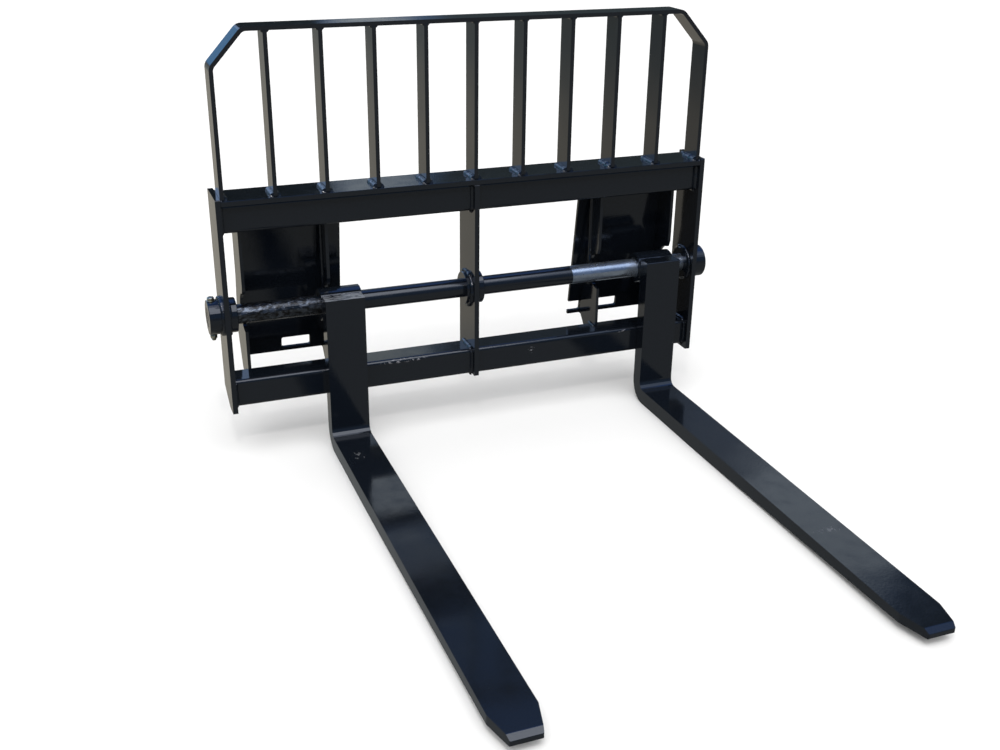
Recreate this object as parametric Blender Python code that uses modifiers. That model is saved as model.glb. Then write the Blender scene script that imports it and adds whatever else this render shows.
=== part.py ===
"""Pallet fork attachment: a welded carriage with a load guard and two forks that float on one round shaft.

Frame of the model, in metres: +X to the right seen from in front of the forks, +Y back towards the loader,
+Z up. It is drawn with Y = 0 at the front edges of the carriage plates and X = 0 at its middle plate, the forks
pointing along -Y with their undersides on the ground. At the end the whole model is moved so that the origin
is on the ground under the middle of its outer box.
"""

import math

import bmesh
import bpy
from mathutils import Matrix, Vector

# Clearance left between pieces that touch or are welded together.
GAP = 0.0003

# Carriage plates: flat bars on edge at the two sides and in the middle.
CARRIAGE_WIDTH = 1.305
PLATE_THICKNESS = 0.0127
PLATE_DEPTH = 0.119
PLATE_TOP = 0.6875
PLATE_BOTTOM = 0.132
PLATE_CHAMFER_DEPTH = 0.070
PLATE_CHAMFER_HEIGHT = 0.034
PLATE_CORNER_RADIUS = 0.006

# Upper and lower beams: rectangular tube, each in two halves that meet the middle plate.
BEAM_SETBACK = 0.019
TUBE_DEPTH = 0.076
TUBE_HEIGHT = 0.072
TUBE_WALL = 0.0064
TUBE_CORNER_RADIUS = 0.0095
UPPER_TUBE_BOTTOM = 0.598
LOWER_TUBE_BOTTOM = 0.1425
TOP_PLATE_THICKNESS = 0.0127
TOP_PLATE_DEPTH = 0.107

# Load guard: one bent flat bar with nine upright bars inside it.
GUARD_TOP = 1.077
GUARD_BAR_THICKNESS = 0.010
GUARD_BAR_DEPTH = 0.066
GUARD_SETBACK = 0.008
GUARD_SHOULDER_RUN = 0.078
GUARD_SHOULDER_DROP = 0.086
GUARD_BEND_RADIUS = 0.026
GUARD_BAR_COUNT = 9
GUARD_BAR_PITCH = 0.127

# Shaft and the rings welded round it.
SHAFT_RADIUS = 0.025
SHAFT_CLEARANCE = 0.0003
SHAFT_HEIGHT = 0.3775
RING_RADIUS = 0.044
LEFT_BOSS_LENGTH = 0.034
RIGHT_BOSS_LENGTH = 0.041
LEFT_COLLAR_LENGTH = 0.022
RIGHT_COLLAR_LENGTH = 0.007
CENTRE_LEFT_COLLAR_LENGTH = 0.013
CENTRE_RIGHT_COLLAR_LENGTH = 0.022
RING_CHAMFER = 0.0015

# Retaining bolt down through the left boss and the shaft.
BOLT_RADIUS = 0.006
BOLT_HOLE_RADIUS = 0.0064
BOLT_INSET = 0.011
BOLT_HEAD_FLATS = 0.019
BOLT_HEAD_HEIGHT = 0.0085
NUT_HEIGHT = 0.0105
BOLT_POINT = 0.006

# Quick-attach plates at the back, one each side, with their gussets.
ATTACH_OUTER_X = 0.598
LEFT_ATTACH_INNER_X = 0.330
RIGHT_ATTACH_INNER_X = 0.339
ATTACH_PLATE_THICKNESS = 0.008
ATTACH_TOP_Y = 0.1116
ATTACH_TOP = 0.640
ATTACH_LIP_RUN = 0.036
ATTACH_LIP_DROP = 0.036
ATTACH_FOOT_Y = 0.168
ATTACH_FOOT_Z = 0.2185
SLOT_INNER_X = 0.4145
SLOT_WIDTH = 0.0755
SLOT_HEIGHT = 0.0288
SLOT_FOOT_MARGIN = 0.0105
SLOT_CORNER_RADIUS = 0.005
NOTCH_CLEARANCE = 0.001

GUSSET_THICKNESS = 0.008
INNER_GUSSET_X = 0.379
GUSSET_SETBACK = 0.058
GUSSET_NOTCH_CLEARANCE = 0.0085
GUSSET_NOTCH_LEAD = 0.018
GUSSET_FOOT_Z = 0.168
GUSSET_TOP_DROP = 0.004
GUSSET_TOE_STEP = 0.012
GUSSET_TOE_RUN = 0.022
GUSSET_TOE_DROP = 0.025
RELIEF_FRONT_Y = 0.118
RELIEF_LOW_Z = 0.2335
RELIEF_HIGH_Z = 0.2625
END_PLATE_TOP_Y = 0.149
END_PLATE_HEEL_Y = 0.188
END_PLATE_HEEL_Z = 0.290
END_PLATE_FOOT_Y = 0.146
END_PLATE_FOOT_Z = 0.196

# Forks: a round sleeve on the shaft and a forged L welded to the front of it.
FORK_WIDTH = 0.1009
FORK_THICKNESS = 0.0385
FORK_LENGTH = 1.2286
BLADE_THICKNESS = 0.040
SHANK_TOP = 0.414
HEEL_INNER_RADIUS = 0.022
HEEL_OUTER_RADIUS = 0.058
BLADE_FLAT_LENGTH = 0.331
TIP_THICKNESS = 0.0202
TIP_CHAMFER_LENGTH = 0.013
TIP_CHAMFER_DROP = 0.008
TIP_TAPER_LENGTH = 0.071
TIP_TAPER_INSET = 0.018
FORK_EDGE_RADIUS = 0.0022
SLEEVE_RADIUS = 0.0415
SLEEVE_OVERHANG = 0.006
SLEEVE_CHAMFER = 0.0015
BUSHING_WALL = 0.0025
BUSHING_RECESS = 0.001
LEFT_FORK_X = -0.4073
RIGHT_FORK_X = 0.4874

# Small rounding on cut plate and bar edges.
CUT_EDGE_RADIUS = 0.0009
ARC_STEPS = 8
ROUND_STEPS = 48

# Places worked out from the sizes above.
HALF_WIDTH = CARRIAGE_WIDTH / 2
PLATE_INNER_X = HALF_WIDTH - PLATE_THICKNESS
BEAM_BACK = BEAM_SETBACK + TUBE_DEPTH
UPPER_TUBE_TOP = UPPER_TUBE_BOTTOM + TUBE_HEIGHT
LOWER_TUBE_TOP = LOWER_TUBE_BOTTOM + TUBE_HEIGHT
TOP_PLATE_BOTTOM = UPPER_TUBE_TOP + GAP
TOP_PLATE_TOP = TOP_PLATE_BOTTOM + TOP_PLATE_THICKNESS
SHANK_BACK = BEAM_SETBACK - GAP
SHANK_FRONT = SHANK_BACK - FORK_THICKNESS
FORK_TIP = SHANK_FRONT - FORK_LENGTH
SHAFT_Y = SHANK_BACK + GAP + SLEEVE_RADIUS
BORE_RADIUS = SHAFT_RADIUS + SHAFT_CLEARANCE
BUSHING_RADIUS = BORE_RADIUS + BUSHING_WALL
SLEEVE_BORE_RADIUS = BUSHING_RADIUS + SHAFT_CLEARANCE

PAINT = ("black_gloss_paint", (0.012, 0.014, 0.018), 0.28, 0.0)
WORN_STEEL = ("worn_steel", (0.30, 0.31, 0.32), 0.35, 1.0)
ZINC = ("zinc_plate", (0.62, 0.60, 0.52), 0.30, 1.0)


def clear_scene():
    """Remove every object, so that the model starts from nothing."""
    for obj in list(bpy.data.objects):
        bpy.data.objects.remove(obj, do_unlink=True)


def make_collection(name, hidden=False):
    """A new collection under the scene's own."""
    collection = bpy.data.collections.new(name)
    bpy.context.scene.collection.children.link(collection)
    collection.hide_render = hidden
    return collection


def make_material(finish):
    """The finish's Principled material, made once and shared."""
    name, colour, roughness, metallic = finish
    material = bpy.data.materials.get(name)
    if material is None:
        material = bpy.data.materials.new(name)
        material.use_nodes = True
        shader = material.node_tree.nodes["Principled BSDF"]
        shader.inputs["Base Color"].default_value = (*colour, 1.0)
        shader.inputs["Roughness"].default_value = roughness
        shader.inputs["Metallic"].default_value = metallic
    return material


clear_scene()
PARTS = make_collection("pallet_fork_attachment")
CUTTERS = make_collection("cutters", hidden=True)


def add_object(name, mesh, finish=None, matrix=None):
    """Link a mesh as a part, or as a cutter where it has no finish."""
    obj = bpy.data.objects.new(name, mesh)
    if matrix is not None:
        obj.matrix_world = matrix
    if finish is None:
        CUTTERS.objects.link(obj)
        obj.hide_render = True
        obj.display_type = "WIRE"
    else:
        PARTS.objects.link(obj)
        mesh.materials.append(make_material(finish))
    return obj


def rounded_outline(corners):
    """Points of a closed outline whose corners, given as (u, v, radius), are rounded by arcs."""
    points = []
    for index, (u, v, radius) in enumerate(corners):
        corner = Vector((u, v))
        if radius <= 0:
            points.append(corner)
            continue
        before = Vector(corners[index - 1][:2]) - corner
        after = Vector(corners[(index + 1) % len(corners)][:2]) - corner
        half_angle = before.angle(after) / 2
        reach = radius / math.tan(half_angle)
        start = corner + before.normalized() * reach
        centre = corner + (before.normalized() + after.normalized()).normalized() * (radius / math.sin(half_angle))
        turn = (start - centre).angle_signed(corner + after.normalized() * reach - centre)
        for step in range(ARC_STEPS + 1):
            spoke = (start - centre).copy()
            spoke.rotate(Matrix.Rotation(-turn * step / ARC_STEPS, 2))
            points.append(centre + spoke)
    return points


def flat_curve(outlines, thickness):
    """A filled 2D curve object through closed outlines, extruded to a thickness about its own plane."""
    curve = bpy.data.curves.new("outline", "CURVE")
    curve.dimensions = "2D"
    curve.fill_mode = "BOTH"
    curve.extrude = thickness / 2
    for outline in outlines:
        spline = curve.splines.new("POLY")
        spline.points.add(len(outline) - 1)
        for point, place in zip(spline.points, outline):
            point.co = (place[0], place[1], 0.0, 1.0)
        spline.use_cyclic_u = True
    obj = bpy.data.objects.new("outline", curve)
    bpy.context.scene.collection.objects.link(obj)
    return obj


def mesh_of_curve(obj):
    """The curve object's mesh with its caps welded; the curve is removed."""
    graph = bpy.context.evaluated_depsgraph_get()
    mesh = bpy.data.meshes.new_from_object(obj.evaluated_get(graph))
    work = bmesh.new()
    work.from_mesh(mesh)
    bmesh.ops.remove_doubles(work, verts=work.verts, dist=0.00001)
    bmesh.ops.recalc_face_normals(work, faces=work.faces)
    work.to_mesh(mesh)
    work.free()
    curve = obj.data
    bpy.data.objects.remove(obj)
    bpy.data.curves.remove(curve)
    return mesh


def side_plate_matrix(x):
    """Outline plane (u, v) to the Y-Z plane at this X."""
    return Matrix(((0, 0, 1, x), (1, 0, 0, 0), (0, 1, 0, 0), (0, 0, 0, 1)))


def front_plate_matrix(y):
    """Outline plane (u, v) to the X-Z plane at this Y."""
    return Matrix(((1, 0, 0, 0), (0, 0, -1, y), (0, 1, 0, 0), (0, 0, 0, 1)))


def floor_plate_matrix(z):
    """Outline plane (u, v) to the X-Y plane at this Z."""
    return Matrix.Translation((0, 0, z))


def extruded(name, outlines, thickness, matrix, finish=None):
    """A part or cutter made of closed outlines, extruded to a thickness about the matrix's plane."""
    mesh = mesh_of_curve(flat_curve(outlines, thickness))
    return add_object(name, mesh, finish, matrix)


def box(name, low, high, finish=None):
    """A box between two corners."""
    mesh = bpy.data.meshes.new(name)
    work = bmesh.new()
    bmesh.ops.create_cube(work, size=1.0)
    size = Vector(high) - Vector(low)
    bmesh.ops.scale(work, vec=size, verts=work.verts)
    work.to_mesh(mesh)
    work.free()
    return add_object(name, mesh, finish, Matrix.Translation((Vector(low) + Vector(high)) / 2))


def rod(name, radius, start, end, finish=None, sides=ROUND_STEPS):
    """A plain round bar between two points."""
    axis = Vector(end) - Vector(start)
    mesh = bpy.data.meshes.new(name)
    work = bmesh.new()
    bmesh.ops.create_cone(work, cap_ends=True, segments=sides, radius1=radius, radius2=radius, depth=axis.length)
    work.to_mesh(mesh)
    work.free()
    place = Matrix.Translation((Vector(start) + Vector(end)) / 2)
    return add_object(name, mesh, finish, place @ axis.to_track_quat("Z", "Y").to_matrix().to_4x4())


def turned(name, profile, x, finish):
    """A ring round the shaft's axis: profile points are (radius, distance along X from x)."""
    mesh = bpy.data.meshes.new(name)
    points = [(radius, 0.0, -along) for radius, along in profile]
    edges = [(index, (index + 1) % len(points)) for index in range(len(points))]
    mesh.from_pydata(points, edges, [])
    # The profile's own Z points along -X, so its outer side runs from its top to its bottom.
    turn = Matrix(((0, 0, -1, x), (0, 1, 0, SHAFT_Y), (1, 0, 0, SHAFT_HEIGHT), (0, 0, 0, 1)))
    obj = add_object(name, mesh, finish, turn)
    screw = obj.modifiers.new("turn", "SCREW")
    screw.axis = "Z"
    screw.steps = ROUND_STEPS
    screw.render_steps = ROUND_STEPS
    screw.use_merge_vertices = True
    screw.merge_threshold = 0.00001
    apply_modifiers(obj)
    return obj


def ring(name, start, end, bore, outer, chamfer, finish):
    """A bored ring round the shaft between two X places, with chamfered outer rims."""
    length = end - start
    profile = [
        (bore, 0.0),
        (outer - chamfer, 0.0),
        (outer, chamfer),
        (outer, length - chamfer),
        (outer - chamfer, length),
        (bore, length),
    ]
    return turned(name, profile, start, finish)


def apply_modifiers(obj):
    """Turn the modifiers' result into the object's own mesh."""
    graph = bpy.context.evaluated_depsgraph_get()
    mesh = bpy.data.meshes.new_from_object(obj.evaluated_get(graph))
    old = obj.data
    obj.modifiers.clear()
    obj.data = mesh
    bpy.data.meshes.remove(old)


def boolean(obj, other, operation="DIFFERENCE"):
    """Cut, join or intersect with another object by the exact solver."""
    modifier = obj.modifiers.new(operation.lower(), "BOOLEAN")
    modifier.operation = operation
    modifier.solver = "EXACT"
    modifier.object = other
    apply_modifiers(obj)


def soften(obj, width, segments=2):
    """Round the piece's sharp edges."""
    bevel = obj.modifiers.new("edge", "BEVEL")
    bevel.width = width
    bevel.segments = segments
    bevel.limit_method = "ANGLE"
    bevel.angle_limit = math.radians(40)
    bevel.miter_outer = "MITER_ARC"
    bevel.use_clamp_overlap = True
    apply_modifiers(obj)


def smooth(obj):
    """Shade round surfaces smooth and keep real edges sharp."""
    obj.data.shade_smooth()
    obj.data.set_sharp_from_angle(angle=math.radians(35))


def move_origin(obj, place):
    """Put the object's origin at a place without moving its solid."""
    shift = Matrix.Translation(Vector(place))
    obj.data.transform(shift.inverted() @ obj.matrix_world)
    obj.matrix_world = shift


def shaft_hole(x_low, x_high):
    """Cutter for the shaft's bore through a plate."""
    return rod("shaft_hole", BORE_RADIUS, (x_low, SHAFT_Y, SHAFT_HEIGHT), (x_high, SHAFT_Y, SHAFT_HEIGHT))


def build_side_plate(name, x):
    """One outer plate, bored for the shaft, with its lower back corner cut off at a slant."""
    corners = [
        (0.0, PLATE_BOTTOM, 0.003),
        (PLATE_DEPTH - PLATE_CHAMFER_DEPTH, PLATE_BOTTOM, PLATE_CORNER_RADIUS),
        (PLATE_DEPTH, PLATE_BOTTOM + PLATE_CHAMFER_HEIGHT, PLATE_CORNER_RADIUS),
        (PLATE_DEPTH, PLATE_TOP, 0.003),
        (0.0, PLATE_TOP, 0.003),
    ]
    plate = extruded(name, [rounded_outline(corners)], PLATE_THICKNESS, side_plate_matrix(x), PAINT)
    boolean(plate, shaft_hole(x - PLATE_THICKNESS, x + PLATE_THICKNESS))
    soften(plate, CUT_EDGE_RADIUS)
    smooth(plate)


def build_centre_plate():
    """The middle plate, from the underside of the lower beam up to the top plate."""
    corners = [
        (0.0, LOWER_TUBE_BOTTOM, 0.003),
        (PLATE_DEPTH, LOWER_TUBE_BOTTOM, 0.003),
        (PLATE_DEPTH, TOP_PLATE_BOTTOM - GAP - 0.004, 0.003),
        (TOP_PLATE_DEPTH - 0.004, TOP_PLATE_BOTTOM - GAP, 0.003),
        (0.0, TOP_PLATE_BOTTOM - GAP, 0.003),
    ]
    plate = extruded("centre_plate", [rounded_outline(corners)], PLATE_THICKNESS, side_plate_matrix(0.0), PAINT)
    boolean(plate, shaft_hole(-PLATE_THICKNESS, PLATE_THICKNESS))
    soften(plate, CUT_EDGE_RADIUS)
    smooth(plate)


def build_tube(name, x_start, x_end, bottom):
    """Half a beam: rectangular tube between two plates."""
    top = bottom + TUBE_HEIGHT
    outer = [
        (BEAM_SETBACK, bottom, TUBE_CORNER_RADIUS),
        (BEAM_BACK, bottom, TUBE_CORNER_RADIUS),
        (BEAM_BACK, top, TUBE_CORNER_RADIUS),
        (BEAM_SETBACK, top, TUBE_CORNER_RADIUS),
    ]
    inner_radius = TUBE_CORNER_RADIUS - TUBE_WALL
    inner = [
        (BEAM_SETBACK + TUBE_WALL, bottom + TUBE_WALL, inner_radius),
        (BEAM_BACK - TUBE_WALL, bottom + TUBE_WALL, inner_radius),
        (BEAM_BACK - TUBE_WALL, top - TUBE_WALL, inner_radius),
        (BEAM_SETBACK + TUBE_WALL, top - TUBE_WALL, inner_radius),
    ]
    outlines = [rounded_outline(outer), rounded_outline(inner)]
    tube = extruded(name, outlines, x_end - x_start, side_plate_matrix((x_start + x_end) / 2), PAINT)
    smooth(tube)


def build_beams():
    """Both beams as left and right halves, and the flat plate on top of the upper one."""
    near = PLATE_THICKNESS / 2 + GAP
    far = PLATE_INNER_X - GAP
    for name, bottom in (("upper_beam", UPPER_TUBE_BOTTOM), ("lower_beam", LOWER_TUBE_BOTTOM)):
        build_tube(name + "_left", -far, -near, bottom)
        build_tube(name + "_right", near, far, bottom)
    plate = box("top_plate", (-far, 0.0, TOP_PLATE_BOTTOM), (far, TOP_PLATE_DEPTH, TOP_PLATE_TOP), PAINT)
    soften(plate, CUT_EDGE_RADIUS)
    smooth(plate)


def guard_outline(inset):
    """The guard's outer bar as an open path of rounded corners, moved in from its outer face by an inset."""
    half = PLATE_INNER_X - GAP - inset
    top = GUARD_TOP - inset
    # The inset line of each shoulder keeps the bar's thickness square to its own run.
    slant = math.atan2(GUARD_SHOULDER_DROP, GUARD_SHOULDER_RUN)
    radius = GUARD_BEND_RADIUS - inset
    shoulder_x = PLATE_INNER_X - GAP - GUARD_SHOULDER_RUN - inset * math.tan(slant / 2)
    shoulder_z = GUARD_TOP - GUARD_SHOULDER_DROP - inset * math.tan((math.pi / 2 - slant) / 2)
    base = TOP_PLATE_TOP + GAP
    return half, top, radius, shoulder_x, shoulder_z, base


def build_guard_frame():
    """The bent flat bar round the guard: two uprights, two slanted shoulders and the top rail."""
    loops = []
    for inset in (0.0, GUARD_BAR_THICKNESS):
        half, top, radius, shoulder_x, shoulder_z, base = guard_outline(inset)
        loops.append(
            [
                (half, base, 0.0),
                (half, shoulder_z, radius),
                (shoulder_x, top, radius),
                (-shoulder_x, top, radius),
                (-half, shoulder_z, radius),
                (-half, base, 0.0),
            ]
        )
    outer = rounded_outline(loops[0])
    inner = rounded_outline(loops[1])
    middle_y = GUARD_SETBACK + GUARD_BAR_DEPTH / 2
    outline = outer + inner[::-1]
    frame = extruded("guard_frame", [outline], GUARD_BAR_DEPTH, front_plate_matrix(middle_y), PAINT)
    soften(frame, CUT_EDGE_RADIUS)
    smooth(frame)


def build_guard_bars():
    """The upright bars, evenly spaced about the middle, from the top plate to the guard's top rail."""
    low = TOP_PLATE_TOP + GAP
    high = GUARD_TOP - GUARD_BAR_THICKNESS - GAP
    for index in range(GUARD_BAR_COUNT):
        x = (index - (GUARD_BAR_COUNT - 1) / 2) * GUARD_BAR_PITCH
        half = GUARD_BAR_THICKNESS / 2
        corners = (x - half, GUARD_SETBACK, low), (x + half, GUARD_SETBACK + GUARD_BAR_DEPTH, high)
        bar = box("guard_bar_%d" % (index + 1), *corners, PAINT)
        soften(bar, CUT_EDGE_RADIUS)
        smooth(bar)


def build_rings():
    """The bosses outside the side plates and the collars inside them and beside the middle plate."""
    side = PLATE_INNER_X - GAP
    outside = HALF_WIDTH + GAP
    middle = PLATE_THICKNESS / 2 + GAP
    places = (
        ("left_outer_boss", -outside - LEFT_BOSS_LENGTH, -outside),
        ("left_inner_collar", -side, -side + LEFT_COLLAR_LENGTH),
        ("centre_left_collar", -middle - CENTRE_LEFT_COLLAR_LENGTH, -middle),
        ("centre_right_collar", middle, middle + CENTRE_RIGHT_COLLAR_LENGTH),
        ("right_inner_collar", side - RIGHT_COLLAR_LENGTH, side),
        ("right_outer_boss", outside, outside + RIGHT_BOSS_LENGTH),
    )
    for name, start, end in places:
        ring_part = ring(name, start, end, BORE_RADIUS, RING_RADIUS, RING_CHAMFER, PAINT)
        if name == "left_outer_boss":
            boolean(ring_part, bolt_hole())
        smooth(ring_part)


def bolt_x():
    """X of the retaining bolt, set in from the end of the left boss."""
    return -HALF_WIDTH - GAP - LEFT_BOSS_LENGTH + BOLT_INSET


def bolt_hole():
    """Cutter for the retaining bolt's hole through the boss and the shaft."""
    reach = RING_RADIUS * 1.5
    low = (bolt_x(), SHAFT_Y, SHAFT_HEIGHT - reach)
    high = (bolt_x(), SHAFT_Y, SHAFT_HEIGHT + reach)
    return rod("bolt_hole", BOLT_HOLE_RADIUS, low, high, sides=24)


def build_shaft():
    """The round shaft the forks hang on, from the end of one boss to the end of the other."""
    start = -HALF_WIDTH - LEFT_BOSS_LENGTH
    end = HALF_WIDTH + RIGHT_BOSS_LENGTH
    shaft = rod("shaft", SHAFT_RADIUS, (start, SHAFT_Y, SHAFT_HEIGHT), (end, SHAFT_Y, SHAFT_HEIGHT), WORN_STEEL)
    boolean(shaft, bolt_hole())
    smooth(shaft)


def build_retaining_bolt():
    """The hexagon-headed bolt down through the left boss and the shaft, and the nut under it."""
    x = bolt_x()
    seat = SHAFT_HEIGHT + RING_RADIUS + GAP
    under = SHAFT_HEIGHT - RING_RADIUS - GAP
    corner_radius = BOLT_HEAD_FLATS / 2 / math.cos(math.pi / 6)
    point = under - NUT_HEIGHT - BOLT_POINT
    bolt = rod("retaining_bolt", BOLT_RADIUS, (x, SHAFT_Y, point), (x, SHAFT_Y, seat + 0.002), ZINC, sides=24)
    head_top = seat + BOLT_HEAD_HEIGHT
    head = rod("bolt_head", corner_radius, (x, SHAFT_Y, seat), (x, SHAFT_Y, head_top), sides=6)
    boolean(bolt, head, "UNION")
    smooth(bolt)
    nut_places = (x, SHAFT_Y, under - NUT_HEIGHT), (x, SHAFT_Y, under)
    nut = rod("retaining_nut", corner_radius, *nut_places, ZINC, sides=6)
    boolean(nut, rod("nut_bore", BOLT_RADIUS + GAP, (x, SHAFT_Y, point), (x, SHAFT_Y, seat), sides=24))
    smooth(nut)


def plate_slope():
    """Down the front of a quick-attach plate: its top and foot as (y, z), and the step through it to its back."""
    top = Vector((ATTACH_TOP_Y, ATTACH_TOP))
    foot = Vector((ATTACH_FOOT_Y, ATTACH_FOOT_Z))
    run = foot - top
    return top, foot, Vector((-run.y, run.x)).normalized() * ATTACH_PLATE_THICKNESS


def attach_profile():
    """Y-Z outline of a quick-attach plate: a hooked lip on top of a flat plate that leans back to its foot."""
    top, foot, across = plate_slope()
    lip = Vector((ATTACH_LIP_RUN, -ATTACH_LIP_DROP))
    lip_across = Vector((lip.y, -lip.x)).normalized() * ATTACH_PLATE_THICKNESS
    back_top = top + across
    lip_end = back_top + lip
    # The underside of the lip runs back along the lip until it meets the back of the plate.
    slope = foot - top
    under = lip_end + lip_across
    root = back_top + slope * ((under - back_top).cross(lip) / slope.cross(lip))
    return [
        (top.x, top.y, 0.0),
        (foot.x, foot.y, 0.0),
        (foot.x + across.x, foot.y + across.y, 0.0),
        (root.x, root.y, 0.003),
        (under.x, under.y, 0.0),
        (lip_end.x, lip_end.y, 0.0),
        (back_top.x, back_top.y, 0.0),
    ]


def plate_frame(side, x):
    """Matrix of a quick-attach plate at an X: outline u runs along X, v up the plate from its foot."""
    top, foot, _ = plate_slope()
    run = Vector((0.0, top.x - foot.x, top.y - foot.y)).normalized()
    along = Vector((1.0, 0.0, 0.0))
    matrix = Matrix((along, run, along.cross(run))).transposed().to_4x4()
    matrix.translation = Vector((side * x, foot.x, foot.y))
    return matrix


def slot_outline(width, radius_inner, radius_outer):
    """Rounded slot in the plate, its lower edge a margin above the foot; u runs from 0 to the width."""
    low = SLOT_FOOT_MARGIN
    high = SLOT_FOOT_MARGIN + SLOT_HEIGHT
    return [
        (0.0, low, radius_inner),
        (width, low, radius_outer),
        (width, high, radius_outer),
        (0.0, high, radius_inner),
    ]


def build_attach_plate(name, side):
    """One quick-attach plate with a slot for the loader's pin and an open notch at its inner end."""
    inner = LEFT_ATTACH_INNER_X if side < 0 else RIGHT_ATTACH_INNER_X
    outer = ATTACH_OUTER_X - GUSSET_THICKNESS - GAP
    middle = side * (inner + outer) / 2
    outline = rounded_outline(attach_profile())
    plate = extruded(name, [outline], outer - inner, side_plate_matrix(middle), PAINT)
    reach = 8 * ATTACH_PLATE_THICKNESS
    slot_x = SLOT_INNER_X if side > 0 else SLOT_INNER_X + SLOT_WIDTH
    slot = rounded_outline(slot_outline(SLOT_WIDTH, SLOT_CORNER_RADIUS, SLOT_CORNER_RADIUS))
    boolean(plate, extruded(name + "_slot", [slot], reach, plate_frame(side, slot_x)))
    overrun = 0.010
    notch_end = INNER_GUSSET_X - GUSSET_THICKNESS / 2 - NOTCH_CLEARANCE
    start = inner - overrun if side > 0 else notch_end
    radii = (0.0, SLOT_CORNER_RADIUS) if side > 0 else (SLOT_CORNER_RADIUS, 0.0)
    notch = rounded_outline(slot_outline(notch_end - inner + overrun, *radii))
    boolean(plate, extruded(name + "_notch", [notch], reach, plate_frame(side, start)))
    smooth(plate)


def notch_points():
    """Front edge of a gusset between the beams, with the round notch that lets the fork sleeves past."""
    radius = SLEEVE_RADIUS + GUSSET_NOTCH_CLEARANCE
    reach = SHAFT_Y - GUSSET_SETBACK
    drop = math.sqrt(radius * radius - reach * reach)
    start = math.atan2(-drop, -reach)
    sweep = 2 * math.pi - 2 * (math.pi + start)
    points = []
    steps = 3 * ARC_STEPS
    for step in range(steps + 1):
        angle = start + sweep * step / steps
        points.append((SHAFT_Y + radius * math.cos(angle), SHAFT_HEIGHT + radius * math.sin(angle)))
    # The upper corner of the notch leads in with a slant, so that a sleeve doesn't catch on it.
    points[-1] = (GUSSET_SETBACK, points[-1][1] + GUSSET_NOTCH_LEAD)
    return points


def gusset_outline(back_edge):
    """Outline of a gusset: round the beams, up the notched front edge, and down its own back edge."""
    lower_top = LOWER_TUBE_TOP + GAP
    upper_bottom = UPPER_TUBE_BOTTOM - GAP
    behind = BEAM_BACK + GAP
    front = [(behind, GUSSET_FOOT_Z), (behind, lower_top), (GUSSET_SETBACK, lower_top)]
    front += notch_points()
    front += [(GUSSET_SETBACK, upper_bottom), (behind, upper_bottom), (behind, ATTACH_TOP - GUSSET_TOP_DROP)]
    return front + back_edge


def build_gussets():
    """Two gussets a side: an end plate outside the quick-attach plate and an inner one in front of it."""
    top, foot, across = plate_slope()
    clear = -across.normalized() * GAP
    top, foot = top + clear, foot + clear
    # The inner gusset starts a little under the top of the plate, on the line of its front face.
    start = top + (foot - top) * GUSSET_TOP_DROP / (top - foot).y
    toe_y = foot.x - GUSSET_TOE_STEP
    inner_edge = [tuple(start), tuple(foot), (toe_y, foot.y), (toe_y - GUSSET_TOE_RUN, foot.y - GUSSET_TOE_DROP)]
    end_edge = rounded_outline(
        [
            (BEAM_BACK + GAP, ATTACH_TOP - GUSSET_TOP_DROP, 0.0),
            (END_PLATE_TOP_Y, ATTACH_TOP - GUSSET_TOP_DROP, 0.012),
            (END_PLATE_TOP_Y + 0.003, 0.45, 0.06),
            (END_PLATE_HEEL_Y, END_PLATE_HEEL_Z, 0.030),
            (END_PLATE_FOOT_Y, END_PLATE_FOOT_Z, 0.024),
            (BEAM_BACK + GAP, GUSSET_FOOT_Z, 0.0),
        ]
    )[1:-1]
    relief = [
        Vector(point)
        for point in (
            (RELIEF_FRONT_Y, RELIEF_LOW_Z),
            (ATTACH_FOOT_Y + 0.010, RELIEF_LOW_Z),
            (ATTACH_FOOT_Y + 0.010, RELIEF_HIGH_Z),
            (RELIEF_FRONT_Y, RELIEF_HIGH_Z),
        )
    ]
    for side_name, side in (("left", -1), ("right", 1)):
        places = (
            ("inner_gusset_", INNER_GUSSET_X, inner_edge),
            ("end_gusset_", ATTACH_OUTER_X - GUSSET_THICKNESS / 2, end_edge),
        )
        for prefix, x, edge in places:
            outline = [Vector(point) for point in gusset_outline(list(edge))]
            matrix = side_plate_matrix(side * x)
            gusset = extruded(prefix + side_name, [outline], GUSSET_THICKNESS, matrix, PAINT)
            if prefix == "inner_gusset_" and side < 0:
                boolean(gusset, extruded("gusset_relief", [relief], 3 * GUSSET_THICKNESS, matrix))
            smooth(gusset)


def tine_profile():
    """Y-Z outline of the forged L: shank, heel bend, and a blade that thins towards its tip."""
    tip_bottom = BLADE_THICKNESS - TIP_THICKNESS
    flat_end = SHANK_FRONT - BLADE_FLAT_LENGTH
    return [
        (SHANK_BACK, SHANK_TOP, 0.003),
        (SHANK_FRONT, SHANK_TOP, 0.003),
        (SHANK_FRONT, BLADE_THICKNESS, HEEL_INNER_RADIUS),
        (FORK_TIP + TIP_CHAMFER_LENGTH, BLADE_THICKNESS, 0.004),
        (FORK_TIP, BLADE_THICKNESS - TIP_CHAMFER_DROP, 0.002),
        (FORK_TIP, tip_bottom, 0.003),
        (flat_end, 0.0, 0.0),
        (SHANK_BACK, 0.0, HEEL_OUTER_RADIUS),
    ]


def tine_plan(x):
    """X-Y outline of a tine: straight sides that draw in towards the tip."""
    left = x
    right = x + FORK_WIDTH
    taper = FORK_TIP + TIP_TAPER_LENGTH
    back = SHANK_BACK + FORK_THICKNESS
    return [
        (left, back, 0.0),
        (left, taper, 0.030),
        (left + TIP_TAPER_INSET, FORK_TIP - GAP, 0.004),
        (right - TIP_TAPER_INSET, FORK_TIP - GAP, 0.004),
        (right, taper, 0.030),
        (right, back, 0.0),
    ]


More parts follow.
